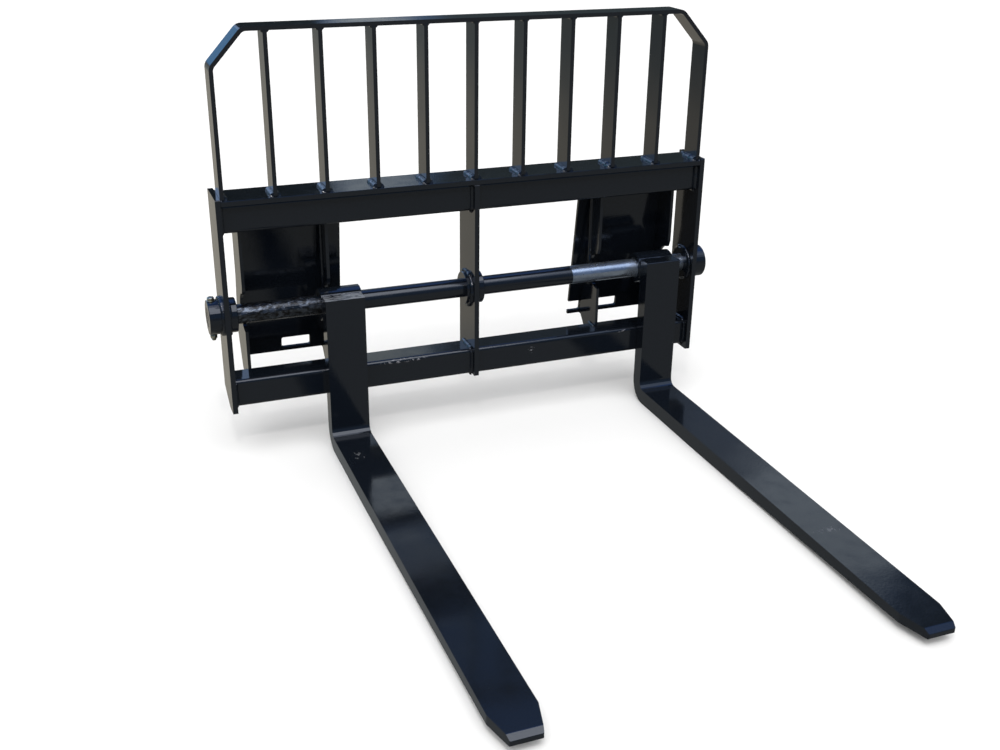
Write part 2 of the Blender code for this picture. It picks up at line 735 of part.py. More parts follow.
def build_fork(side_name, x):
    """One fork: a thin bushing that slides on the shaft, the sleeve that turns on it, and the tine."""
    pivot = (x + FORK_WIDTH / 2, SHAFT_Y, SHAFT_HEIGHT)
    start, end = x, x + FORK_WIDTH + SLEEVE_OVERHANG
    bushing_ends = start + BUSHING_RECESS, end - BUSHING_RECESS
    bushing = ring(side_name + "_fork_bushing", *bushing_ends, BORE_RADIUS, BUSHING_RADIUS, GAP, WORN_STEEL)
    sleeve_radii = SLEEVE_BORE_RADIUS, SLEEVE_RADIUS
    sleeve = ring(side_name + "_fork_sleeve", start, end, *sleeve_radii, SLEEVE_CHAMFER, PAINT)
    for turning in (bushing, sleeve):
        smooth(turning)
        move_origin(turning, pivot)
    middle = side_plate_matrix(x + FORK_WIDTH / 2)
    name = side_name + "_fork_tine"
    tine = extruded(name, [rounded_outline(tine_profile())], FORK_WIDTH * 1.2, middle, PAINT)
    plan = extruded(name + "_plan", [rounded_outline(tine_plan(x))], 2 * SHANK_TOP + 0.1, floor_plate_matrix(0.0))
    boolean(tine, plan, "INTERSECT")
    soften(tine, FORK_EDGE_RADIUS)
    smooth(tine)
    move_origin(tine, pivot)


def centre_on_ground():
    """Move everything so that the origin is on the ground under the middle of the parts' outer box."""
    corners = [obj.matrix_world @ vertex.co for obj in PARTS.objects for vertex in obj.data.vertices]
    low = [min(corner[axis] for corner in corners) for axis in range(3)]
    high = [max(corner[axis] for corner in corners) for axis in range(3)]
    shift = Matrix.Translation((-(low[0] + high[0]) / 2, -(low[1] + high[1]) / 2, -low[2]))
    for obj in list(PARTS.objects) + list(CUTTERS.objects):
        obj.matrix_world = shift @ obj.matrix_world


def main():
    """Build every piece of the attachment."""
    side_x = HALF_WIDTH - PLATE_THICKNESS / 2
    build_side_plate("left_side_plate", -side_x)
    build_side_plate("right_side_plate", side_x)
    build_centre_plate()
    build_beams()
    build_guard_frame()
    build_guard_bars()
    build_shaft()
    build_rings()
    build_retaining_bolt()
    build_attach_plate("quick_attach_plate_left", -1)
    build_attach_plate("quick_attach_plate_right", 1)
    build_gussets()
    build_fork("left", LEFT_FORK_X)
    build_fork("right", RIGHT_FORK_X)
    centre_on_ground()


main()
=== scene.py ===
"""Looks of a pallet fork attachment: gloss black paint, weld beads, scraped shaft and plated bolt.

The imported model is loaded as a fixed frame. Every piece added here is placed from the boxes of the
frame's nodes, in metres, and rides on one of its bodies. +X is to the right seen from in front of
the forks, +Y points back towards the loader and +Z is up.
"""

from __future__ import annotations

import logging
import math
import random
from collections.abc import Iterable, Sequence
from dataclasses import dataclass
from enum import Enum
from typing import Any, ClassVar, Protocol

import bmesh
import bpy
from mathutils import Matrix, Vector, noise


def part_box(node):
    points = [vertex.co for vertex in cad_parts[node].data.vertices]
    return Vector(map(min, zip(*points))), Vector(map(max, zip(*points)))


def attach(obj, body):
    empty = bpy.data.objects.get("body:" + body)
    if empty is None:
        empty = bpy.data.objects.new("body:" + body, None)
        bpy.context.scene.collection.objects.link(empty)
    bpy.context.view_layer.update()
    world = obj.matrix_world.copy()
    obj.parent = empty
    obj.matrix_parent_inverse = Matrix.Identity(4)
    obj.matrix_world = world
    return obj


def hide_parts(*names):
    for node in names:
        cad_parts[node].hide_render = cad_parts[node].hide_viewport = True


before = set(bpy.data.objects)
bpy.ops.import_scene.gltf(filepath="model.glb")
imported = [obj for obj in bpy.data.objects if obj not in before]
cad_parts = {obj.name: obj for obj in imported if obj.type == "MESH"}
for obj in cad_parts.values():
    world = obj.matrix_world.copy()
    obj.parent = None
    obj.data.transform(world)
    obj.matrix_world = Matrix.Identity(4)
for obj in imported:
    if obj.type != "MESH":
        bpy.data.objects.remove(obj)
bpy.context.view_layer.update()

LOG = logging.getLogger("pallet_fork")

RIGHT = Vector((1.0, 0.0, 0.0))
BACK = Vector((0.0, 1.0, 0.0))
UP = Vector((0.0, 0.0, 1.0))

Span = tuple[float, float]
Colour = tuple[float, float, float]
Place = tuple[float, float, float]


class Side(Enum):
    """Which half of the attachment a piece belongs to; the value is the sign of its X."""

    LEFT = -1
    RIGHT = 1

    @property
    def word(self) -> str:
        """The side's name as the frame's nodes spell it."""
        return self.name.lower()


class Slot(Enum):
    """Names of the material slots."""

    PAINT = "black_paint"
    SHAFT = "scraped_shaft"
    ZINC = "zinc_bolt"


@dataclass(frozen=True)
class Box:
    """A node's outer box at rest."""

    low: Vector
    high: Vector

    @classmethod
    def of(cls, node: str) -> Box:
        """The box of a node of the frame.

        Args:
            node: The node's name.

        Returns:
            Its box at rest, in metres.
        """
        low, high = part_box(node)
        return cls(low, high)

    @property
    def middle(self) -> Vector:
        """The box's middle."""
        return (self.low + self.high) / 2

    @property
    def size(self) -> Vector:
        """The box's three sizes."""
        return self.high - self.low

    @property
    def ends(self) -> tuple[tuple[float, int], tuple[float, int]]:
        """The X of its left and right end, each with the sign that points out of the box."""
        return (self.low.x, -1), (self.high.x, 1)


# --------------------------------------------------------------------------------------------------
# Materials
# --------------------------------------------------------------------------------------------------


@dataclass(frozen=True)
class Grain:
    """Noise in cells per metre and the band of it that is spread from one output to the other.

    A stretch below 1 draws the noise out along that axis.
    """

    scale: float
    detail: float
    low: float = 0.0
    high: float = 1.0
    stretch: tuple[float, float, float] = (1.0, 1.0, 1.0)


class NodeBench:
    """A node tree under construction, with short ways to add and join its nodes."""

    def __init__(self, tree: bpy.types.NodeTree, place: str = "Object") -> None:
        """Take up a tree.

        Args:
            tree: The tree to add to.
            place: The texture coordinate that its patterns are laid in.
        """
        self.tree = tree
        self.place = self.node("TexCoord").outputs[place]

    def node(self, kind: str, **settings: Any) -> bpy.types.Node:
        """Add a node.

        Args:
            kind: Blender's node type without its ShaderNode prefix.
            **settings: Properties of the node to set.

        Returns:
            The new node.
        """
        made = self.tree.nodes.new("ShaderNode" + kind)
        for key, value in settings.items():
            setattr(made, key, value)
        return made

    def plug(self, socket: bpy.types.NodeSocket, value: Any) -> None:
        """Link an output to an input, or set the input to a plain value.

        Args:
            socket: The input.
            value: An output socket or a value.
        """
        if isinstance(value, bpy.types.NodeSocket):
            self.tree.links.new(value, socket)
        else:
            socket.default_value = value

    def feed(self, node: bpy.types.Node, **inputs: Any) -> bpy.types.Node:
        """Give values or links to a node's inputs.

        Args:
            node: The node.
            **inputs: Input names, with underscores for spaces, and a value or a socket each.

        Returns:
            The same node.
        """
        for key, value in inputs.items():
            self.plug(node.inputs[key.replace("_", " ")], value)
        return node

    def noise(self, grain: Grain) -> Any:
        """Noise in the object's own metres.

        Args:
            grain: Its scale, detail and stretch.

        Returns:
            The noise's value socket, about 0.5 on average.
        """
        place = self.place
        if grain.stretch != (1.0, 1.0, 1.0):
            mapping = self.feed(self.node("Mapping"), Vector=self.place, Scale=grain.stretch)
            place = mapping.outputs["Vector"]
        texture = self.node("TexNoise")
        self.feed(texture, Vector=place, Scale=grain.scale, Detail=grain.detail)
        return texture.outputs["Fac"]

    def ramp(self, value: Any, band: Span, to: Span = (0.0, 1.0)) -> Any:
        """Spread a value between two ends, clamped.

        Args:
            value: Socket to spread.
            band: Inputs that give the two ends.
            to: Outputs at the two ends.

        Returns:
            The output socket.
        """
        spread = self.node("MapRange")
        ends = {"From_Min": band[0], "From_Max": band[1], "To_Min": to[0], "To_Max": to[1]}
        return self.feed(spread, Value=value, **ends).outputs["Result"]

    def patches(self, grain: Grain, to: Span = (0.0, 1.0)) -> Any:
        """Noise spread over its band.

        Args:
            grain: The noise and its band.
            to: Outputs at the two ends of the band.

        Returns:
            The output socket.
        """
        return self.ramp(self.noise(grain), (grain.low, grain.high), to)

    def step(self, operation: str, first: Any, second: Any = 0.0) -> Any:
        """One step of arithmetic.

        Args:
            operation: Blender's name for it, such as MAXIMUM.
            first: Socket or number.
            second: Socket or number.

        Returns:
            The result socket.
        """
        step = self.node("Math", operation=operation)
        self.plug(step.inputs[0], first)
        self.plug(step.inputs[1], second)
        return step.outputs["Value"]

    def times(self, first: Any, second: Any) -> Any:
        """The product of two sockets or numbers."""
        return self.step("MULTIPLY", first, second)

    def plus(self, first: Any, second: Any) -> Any:
        """The sum of two sockets or numbers."""
        return self.step("ADD", first, second)

    def minus(self, first: Any, second: Any) -> Any:
        """The first socket or number less the second."""
        return self.step("SUBTRACT", first, second)

    def mix(self, mask: Any, first: Any, second: Any) -> Any:
        """Mix two colours by a mask.

        Args:
            mask: Socket, 0 for the first colour and 1 for the second.
            first: RGB triple or socket.
            second: RGB triple or socket.

        Returns:
            The colour socket.
        """
        blend = self.node("Mix", data_type="RGBA")
        self.plug(blend.inputs["Factor"], mask)
        sockets = [socket for socket in blend.inputs if socket.type == "RGBA"]
        for socket, value in zip(sockets, (first, second)):
            self.plug(socket, (*value, 1.0) if isinstance(value, tuple) else value)
        return next(socket for socket in blend.outputs if socket.type == "RGBA")

    def axis(self, name: str) -> Any:
        """The X, Y or Z coordinate of the place, as a socket."""
        return self.feed(self.node("SeparateXYZ"), Vector=self.place).outputs[name]

    def upward(self) -> Any:
        """How far the surface faces up, as a socket."""
        normal = self.node("NewGeometry").outputs["Normal"]
        return self.feed(self.node("SeparateXYZ"), Vector=normal).outputs["Z"]

    def bump(self, height: Any, depth: float, after: Any = None) -> Any:
        """Turn a height into a bent normal.

        Args:
            height: Height socket.
            depth: Depth of a full step, in metres.
            after: Normal socket of an earlier bump.

        Returns:
            The normal socket.
        """
        made = self.feed(self.node("Bump"), Height=height, Distance=depth, Strength=1.0)
        if after is not None:
            self.feed(made, Normal=after)
        return made.outputs["Normal"]


class MaterialBench(NodeBench):
    """A material under construction around one Principled shader."""

    def __init__(self, name: str) -> None:
        """Start a material.

        Args:
            name: Name of the material.
        """
        self.material = bpy.data.materials.new(name)
        self.material.use_nodes = True
        super().__init__(self.material.node_tree)
        self.shader = self.tree.nodes["Principled BSDF"]


@dataclass(frozen=True)
class Scuff:
    """A patch of scratched paint: its middle and how far it reaches along X, Y and Z."""

    middle: Vector
    reach: Vector


@dataclass(frozen=True)
class GlossPaint:
    """Sprayed gloss black: orange peel, slow waves, dust on top faces and scuffs from rubbing."""

    name: str = "gloss_black_paint"
    colour: Colour = (0.0045, 0.0062, 0.0095)
    dust: Colour = (0.040, 0.043, 0.046)
    rub: Colour = (0.085, 0.090, 0.095)
    scraped: Colour = (0.16, 0.17, 0.19)
    roughness: Span = (0.06, 0.13)
    ior: float = 1.5
    scuffs: tuple[Scuff, ...] = ()
    worn_above: float = math.inf

    speck: ClassVar[Grain] = Grain(900.0, 2.0, 0.62, 0.72)
    cloud: ClassVar[Grain] = Grain(9.0, 4.0, 0.42, 0.66)
    sheen: ClassVar[Grain] = Grain(26.0, 4.0, 0.35, 0.68)
    scratch: ClassVar[Grain] = Grain(150.0, 4.0, 0.52, 0.62, (0.6, 0.4, 1.0))
    wear: ClassVar[Grain] = Grain(120.0, 4.0, 0.38, 0.52, (0.4, 1.6, 1.0))
    wave: ClassVar[Grain] = Grain(7.0, 1.0)
    peel: ClassVar[Grain] = Grain(240.0, 2.0)
    wave_depth: ClassVar[float] = 0.0011
    peel_depth: ClassVar[float] = 0.00009
    top_band: ClassVar[Span] = (0.55, 0.95)
    side_dust: ClassVar[float] = 0.12
    dust_cover: ClassVar[float] = 0.55
    dust_roughness: ClassVar[float] = 0.25
    rub_roughness: ClassVar[float] = 0.3
    worn_edge: ClassVar[float] = 0.002
    worn_roughness: ClassVar[float] = 0.25

    def material(self) -> bpy.types.Material:
        """Build the material.

        Returns:
            The new material.
        """
        bench = MaterialBench(self.name)
        facing = bench.plus(bench.ramp(bench.upward(), self.top_band), self.side_dust)
        settled = bench.times(bench.patches(self.speck), bench.patches(self.cloud))
        settled = bench.times(settled, facing)
        colour = bench.mix(bench.times(settled, self.dust_cover), self.colour, self.dust)
        rough = bench.patches(self.sheen, self.roughness)
        rough = bench.plus(rough, bench.times(settled, self.dust_roughness))
        for scuff in self.scuffs:
            mask = self.scuff_mask(bench, scuff)
            colour = bench.mix(mask, colour, self.rub)
            rough = bench.plus(rough, bench.times(mask, self.rub_roughness))
        if math.isfinite(self.worn_above):
            band = (self.worn_above - self.worn_edge, self.worn_above)
            mask = bench.times(bench.ramp(bench.axis("Z"), band), bench.patches(self.wear))
            colour = bench.mix(mask, colour, self.scraped)
            rough = bench.plus(rough, bench.times(mask, self.worn_roughness))
        wave = bench.bump(bench.noise(self.wave), self.wave_depth)
        peel = bench.bump(bench.noise(self.peel), self.peel_depth, wave)
        bench.feed(bench.shader, Base_Color=colour, Roughness=rough, Normal=peel, IOR=self.ior)
        return bench.material

    def scuff_mask(self, bench: NodeBench, scuff: Scuff) -> Any:
        """Mask of a scratched patch.

        Args:
            bench: The material.
            scuff: The patch.

        Returns:
            The mask socket.
        """
        far: Any = 0.0
        for name, middle, reach in zip("XYZ", scuff.middle, scuff.reach):
            off = bench.step("DIVIDE", bench.minus(bench.axis(name), middle), reach)
            far = bench.plus(bench.times(off, off), far)
        near = bench.ramp(far, (0.3, 1.0), (1.0, 0.0))
        return bench.times(near, bench.patches(self.scratch))


@dataclass(frozen=True)
class ShaftZone:
    """A stretch of the shaft rubbed down to steel, between two X places with ragged ends.

    Wear is how much of the paint is gone, brightness how polished the steel is, and rings tells
    where the sleeve's edge has scored circles into it.
    """

    start: float
    end: float
    rag: float
    wear: float
    brightness: float
    rings: float


@dataclass(frozen=True)
class ScrapedShaft:
    """Painted round bar rubbed down to steel where the fork sleeves slide."""

    zones: tuple[ShaftZone, ...]
    name: str = "scraped_shaft"
    paint: Colour = (0.0045, 0.0062, 0.0095)
    steel: Colour = (0.37, 0.42, 0.49)
    dull_steel: Colour = (0.085, 0.092, 0.104)
    stain: Colour = (0.018, 0.016, 0.014)
    metal: float = 0.9
    ring_reach: float = 0.022

    mottle: ClassVar[Grain] = Grain(95.0, 6.0, 0.40, 0.60, (0.7, 1.2, 1.2))
    score: ClassVar[Grain] = Grain(260.0, 3.0, 0.50, 0.62, (6.0, 0.25, 0.25))
    smear: ClassVar[Grain] = Grain(14.0, 3.0, 0.35, 0.70, (0.6, 1.0, 1.0))
    sheen: ClassVar[Grain] = Grain(26.0, 4.0, 0.35, 0.68)
    tear: ClassVar[Grain] = Grain(40.0, 5.0)
    chip: ClassVar[Grain] = Grain(90.0, 4.0, stretch=(0.6, 1.0, 1.0))
    steel_roughness: ClassVar[Span] = (0.20, 0.36)
    paint_roughness: ClassVar[Span] = (0.10, 0.20)
    score_roughness: ClassVar[float] = 0.15
    paint_depth: ClassVar[float] = 0.0005
    score_depth: ClassVar[float] = 0.0004
    torn_edge: ClassVar[float] = 0.0006
    chip_edge: ClassVar[float] = 0.03

    def material(self) -> bpy.types.Material:
        """Build the material.

        Returns:
            The new material.
        """
        bench = MaterialBench(self.name)
        masks = [self.zone_mask(bench, zone) for zone in self.zones]
        lit = [bench.times(mask, zone.brightness) for mask, zone in zip(masks, self.zones)]
        bare = self.strongest(bench, masks)
        shine = self.strongest(bench, lit)
        rings = self.strongest(bench, [self.ring_mask(bench, zone) for zone in self.zones])
        dulled = bench.times(bench.patches(self.mottle), bench.minus(1.0, shine))
        metal = bench.mix(dulled, bench.mix(shine, self.dull_steel, self.steel), self.stain)
        scored = bench.times(bench.patches(self.score), rings)
        smear = bench.patches(self.smear, self.steel_roughness)
        scoured = bench.plus(smear, bench.times(scored, self.score_roughness))
        rough = bench.node("Mix", data_type="FLOAT")
        coated = bench.patches(self.sheen, self.paint_roughness)
        bench.feed(rough, Factor=bare, A=coated, B=scoured)
        edge = bench.bump(bench.minus(1.0, bare), self.paint_depth)
        pits = bench.bump(bench.times(dulled, bare), self.paint_depth, edge)
        bench.feed(
            bench.shader,
            Base_Color=bench.mix(bare, self.paint, metal),
            Metallic=bench.times(bare, self.metal),
            Roughness=rough.outputs["Result"],
            Normal=bench.bump(scored, self.score_depth, pits),
        )
        return bench.material

    def strongest(self, bench: NodeBench, masks: Sequence[Any]) -> Any:
        """The strongest of several masks.

        Args:
            bench: The material.
            masks: Their sockets.

        Returns:
            The socket of their maximum.
        """
        most = masks[0]
        for mask in masks[1:]:
            most = bench.step("MAXIMUM", most, mask)
        return most

    def zone_mask(self, bench: NodeBench, zone: ShaftZone) -> Any:
        """Mask of one rubbed stretch.

        Args:
            bench: The material.
            zone: The stretch.

        Returns:
            The mask socket, 1 on bare steel.
        """
        ragged = bench.times(bench.minus(bench.noise(self.tear), 0.5), zone.rag)
        along = bench.plus(bench.axis("X"), ragged)
        after = bench.ramp(along, (zone.start, zone.start + self.torn_edge))
        before = bench.ramp(along, (zone.end, zone.end + self.torn_edge), (1.0, 0.0))
        worn = (zone.wear, zone.wear + self.chip_edge)
        chips = bench.ramp(bench.noise(self.chip), worn, (1.0, 0.0))
        return bench.times(bench.times(after, before), chips)

    def ring_mask(self, bench: NodeBench, zone: ShaftZone) -> Any:
        """Mask of the circles that the sleeve's edge scored near one place of a stretch.

        Args:
            bench: The material.
            zone: The stretch.

        Returns:
            The mask socket, 1 where the shaft is scored most.
        """
        off = bench.step("ABSOLUTE", bench.minus(bench.axis("X"), zone.rings))
        return bench.ramp(off, (0.0, self.ring_reach), (1.0, 0.0))


@dataclass(frozen=True)
class ZincPlate:
    """Yellow-tinted zinc plating in cloudy patches of two tints."""

    name: str = "zinc_plate"
    colour: Colour = (0.56, 0.53, 0.43)
    tint: Colour = (0.36, 0.33, 0.22)
    roughness: Span = (0.24, 0.44)
    pit_depth: float = 0.00005

    cloud: ClassVar[Grain] = Grain(160.0, 3.0, 0.40, 0.62)
    sheen: ClassVar[Grain] = Grain(420.0, 3.0, 0.3, 0.7)
    pits: ClassVar[Grain] = Grain(700.0, 2.0)

    def material(self) -> bpy.types.Material:
        """Build the material.

        Returns:
            The new material.
        """
        bench = MaterialBench(self.name)
        bench.feed(
            bench.shader,
            Base_Color=bench.mix(bench.patches(self.cloud), self.colour, self.tint),
            Roughness=bench.patches(self.sheen, self.roughness),
            Metallic=1.0,
            Normal=bench.bump(bench.noise(self.pits), self.pit_depth),
        )
        return bench.material


# --------------------------------------------------------------------------------------------------
# Weld seams
# --------------------------------------------------------------------------------------------------


class Seam(Protocol):
    """A line where two pieces meet in a corner."""

    leg: float
    closed: ClassVar[bool]

    @property
    def length(self) -> float:
        """The seam's length in metres."""

    def corner(self, along: float) -> tuple[Vector, Vector, Vector, Vector]:
        """The corner at a distance along the seam: place, the two wall directions and travel."""


@dataclass(frozen=True)
class StraightSeam:
    """A straight corner between two flat walls."""

    start: Vector
    end: Vector
    wall: Vector
    floor: Vector
    leg: float

    closed: ClassVar[bool] = False

    @classmethod
    def deep(
        cls, x: float, y: Span, z: float, wall: Vector, floor: Vector, leg: float
    ) -> StraightSeam:
        """A seam that runs along Y.

        Args:
            x: Its X.
            y: Where it starts and ends.
            z: Its Z.
            wall: Direction of the first wall out of the corner.
            floor: Direction of the second wall out of the corner.
            leg: Width of the bead on each wall.

        Returns:
            The seam.
        """
        return cls(Vector((x, y[0], z)), Vector((x, y[1], z)), wall, floor, leg)

    @classmethod
    def upright(
        cls, x: float, y: float, z: Span, wall: Vector, floor: Vector, leg: float
    ) -> StraightSeam:
        """A seam that runs along Z.

        Args:
            x: Its X.
            y: Its Y.
            z: Where it starts and ends.
            wall: Direction of the first wall out of the corner.
            floor: Direction of the second wall out of the corner.
            leg: Width of the bead on each wall.

        Returns:
            The seam.
        """
        return cls(Vector((x, y, z[0])), Vector((x, y, z[1])), wall, floor, leg)

    @property
    def length(self) -> float:
        """The seam's length in metres."""
        return (self.end - self.start).length

    def corner(self, along: float) -> tuple[Vector, Vector, Vector, Vector]:
        """The corner at a distance along the seam.

        Args:
            along: Distance from the start, in metres.

        Returns:
            Place, wall direction, floor direction and travel direction.
        """
        travel = (self.end - self.start).normalized()
        return self.start + travel * along, self.wall, self.floor, travel


@dataclass(frozen=True)
class RingSeam:
    """The corner where a round boss meets a flat plate."""

    centre: Vector
    radius: float
    outward: Vector
    leg: float

    closed: ClassVar[bool] = True

    @property
    def length(self) -> float:
        """The seam's length in metres."""
        return self.radius * math.tau

    def corner(self, along: float) -> tuple[Vector, Vector, Vector, Vector]:
        """The corner at a distance along the seam.

        Args:
            along: Distance round the ring, in metres.

        Returns:
            Place, plate direction, boss direction and travel direction.
        """
        angle = along / self.radius
        spoke = BACK * math.cos(angle) + UP * math.sin(angle)
        travel = -BACK * math.sin(angle) + UP * math.cos(angle)
        return self.centre + spoke * self.radius, spoke, self.outward, travel


@dataclass(frozen=True)
class WeldBead:
    """How a bead is laid: ripple pitch, lumpiness and the skin's fineness."""

    pitch: float = 0.0042
    ripple: float = 0.16
    lump: float = 0.20
    crown: float = 0.24
    crescent: float = 0.45
    wander: float = 0.05
    steps_per_ripple: int = 4
    across: int = 7
    sink: float = 0.0012

    lumps_per_metre: ClassVar[float] = 70.0
    wanders_per_metre: ClassVar[float] = 160.0
    crater: ClassVar[float] = 0.35
    crater_rise: ClassVar[float] = 3.0
    edge_ripple: ClassVar[float] = 0.14
    fewest_steps: ClassVar[int] = 4

    def rows(self, seam: Seam, seed: int) -> list[list[Vector]]:
        """Cross-sections of the bead along a seam.

        Args:
            seam: The seam to fill.
            seed: Number that makes this bead differ from the others.

        Returns:
            One closed row of points per station.
        """
        stations = round(seam.length / self.pitch * self.steps_per_ripple)
        count = max(self.fewest_steps, stations)
        return [self.row(seam, seam.length * step / count, seed) for step in range(count + 1)]

    def row(self, seam: Seam, along: float, seed: int) -> list[Vector]:
        """One cross-section of the bead.

        Args:
            seam: The seam to fill.
            along: Distance along it, in metres.
            seed: Number that makes this bead differ from the others.

        Returns:
            A closed row of points.
        """
        place, wall, floor, travel = seam.corner(along)
        phase = along / self.pitch + seed * 0.37
        ripple = 1.0 - self.ripple * (phase % 1.0)
        spot = Vector((along * self.lumps_per_metre, seed * 3.1, 0.5))
        lump = 1.0 + self.lump * noise.noise(spot)
        to_end = min(along, seam.length - along) / seam.leg
        leg = seam.leg * lump * min(1.0, self.crater + self.crater_rise * to_end)
        row = [place - (wall + floor) * self.sink]
        for index in range(self.across):
            turn = index / (self.across - 1)
            bulge = math.sin(math.pi * turn)
            edge = wall * (1.0 - turn) + floor * turn
            edge = edge * (1.0 - self.edge_ripple + self.edge_ripple * ripple)
            out = (wall + floor).normalized() * self.crown * bulge * ripple
            spot = Vector((along * self.wanders_per_metre, index * 0.9, seed))
            width = leg * (1.0 + self.wander * noise.noise(spot))
            drag = travel * self.crescent * self.pitch * (bulge - 0.5)
            row.append(place + (edge + out) * width + drag)
        return row


class Batch:
    """Points and faces of several small shapes, joined into one piece."""

    dome = ((-0.2, 0.95), (0.25, 1.0), (0.7, 0.72), (0.95, 0.34))
    dome_sides = 8
    sharp_angle = math.radians(60)

    def __init__(self) -> None:
        """Start empty."""
        self.points: list[Vector] = []
        self.faces: list[tuple[int, ...]] = []

    def skin(self, rows: Sequence[Sequence[Vector]], looped: bool = False) -> None:
        """Join closed rows of points into a skin with ends.

        Args:
            rows: Closed rows of the same number of points.
            looped: Whether the last row meets the first.
        """
        base = len(self.points)
        width = len(rows[0])
        for row in rows:
            self.points.extend(row)
        spans = len(rows) if looped else len(rows) - 1
        for span in range(spans):
            near = base + span * width
            far = base + ((span + 1) % len(rows)) * width
            for index in range(width):
                after = (index + 1) % width
                self.faces.append((near + index, near + after, far + after, far + index))
        if not looped:
            self.faces.append(tuple(range(base + width - 1, base - 1, -1)))
            last = base + (len(rows) - 1) * width
            self.faces.append(tuple(range(last, last + width)))

    def drop(self, place: Vector, out: Vector, radius: float, height: float) -> None:
        """Add a small dome, such as a drop of weld spatter.

        Args:
            place: Foot of the dome on the surface.
            out: Unit direction out of the surface.
            radius: Radius at the foot.
            height: Height of the dome.
        """
        across = out.orthogonal().normalized()
        other = out.cross(across)
        rows = []
        for lift, share in self.dome:
            centre = place + out * height * lift
            rows.append(circle(centre, across, other, radius * share, self.dome_sides))
        self.skin(rows)

    def piece(
        self, name: str, body: str, material: bpy.types.Material, slot: Slot
    ) -> bpy.types.Object:
        """Make the piece and let it ride on a body.

        Args:
            name: Name of the piece.
            body: The body it moves with.
            material: Its finish.
            slot: The slot for that finish; not used.

        Returns:
            The new object.
        """
        mesh = bpy.data.meshes.new(name)
        mesh.from_pydata([tuple(point) for point in self.points], [], self.faces)
        mesh.validate()
        mesh.shade_smooth()
        mesh.set_sharp_from_angle(angle=self.sharp_angle)
        mesh.materials.append(material)
        obj = bpy.data.objects.new(name, mesh)
        bpy.context.scene.collection.objects.link(obj)
        outward_faces(mesh)
        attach(obj, body)
        LOG.info("%s: %d faces, rides on %s", name, len(mesh.polygons), body)
        return obj


def circle(
    centre: Vector, first: Vector, second: Vector, radius: float, sides: int, shift: float = 0.0
) -> list[Vector]:
    """A ring of points.

    Args:
        centre: Its middle.
        first: Unit direction of the first point.
        second: Unit direction a quarter turn on.
        radius: Its radius.
        sides: How many points.
        shift: Where it starts, as a share of one side.

    Returns:
        The points.
    """
    turns = [math.tau * (step + shift) / sides for step in range(sides)]
    return [centre + (first * math.cos(t) + second * math.sin(t)) * radius for t in turns]


def outward_faces(mesh: bpy.types.Mesh) -> None:
    """Turn the mesh's faces outwards.

    Args:
        mesh: The mesh to mend.
    """
    work = bmesh.new()
    work.from_mesh(mesh)
    bmesh.ops.recalc_face_normals(work, faces=work.faces)
    work.to_mesh(mesh)
    work.free()


@dataclass(frozen=True)
class WeldShop:
    """Lays beads along seams and throws spatter beside them."""

    bead: WeldBead = WeldBead()
    spatter_per_metre: float = 26.0
    spatter_reach: float = 0.011
    spatter_radius: Span = (0.0004, 0.0012)
    spatter_flatness: float = 0.8
    clear_of_bead: float = 1.1

    def lay(self, seams: Iterable[Seam], seed: int) -> Batch:
        """Fill seams with beads and spatter.

        Args:
            seams: The seams.
            seed: Starting number for the beads' variation.

        Returns:
            The joined shapes.
        """
        draw = random.Random(seed)
        batch = Batch()
        for index, seam in enumerate(seams):
            rows = self.bead.rows(seam, seed + index)
            batch.skin(rows[:-1] if seam.closed else rows, looped=seam.closed)
            for _ in range(int(seam.length * self.spatter_per_metre)):
                place, wall, floor, _ = seam.corner(draw.uniform(0.02, 0.98) * seam.length)
                reach = seam.leg * self.clear_of_bead + draw.random() ** 2 * self.spatter_reach
                radius = draw.uniform(*self.spatter_radius)
                run, out = (wall, floor) if draw.random() < 0.5 else (floor, wall)
                batch.drop(place + run * reach, out, radius, radius * self.spatter_flatness)
        return batch


# --------------------------------------------------------------------------------------------------
# Sub-assemblies
# --------------------------------------------------------------------------------------------------


def dress(nodes: Iterable[str], material: bpy.types.Material) -> None:
    """Give nodes of the frame a finish.

    Args:
        nodes: Names of the nodes.
        material: The finish.
    """
    for node in nodes:
        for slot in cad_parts[node].material_slots:
            slot.material = material
        LOG.info("%s: dressed in %s", node, material.name)


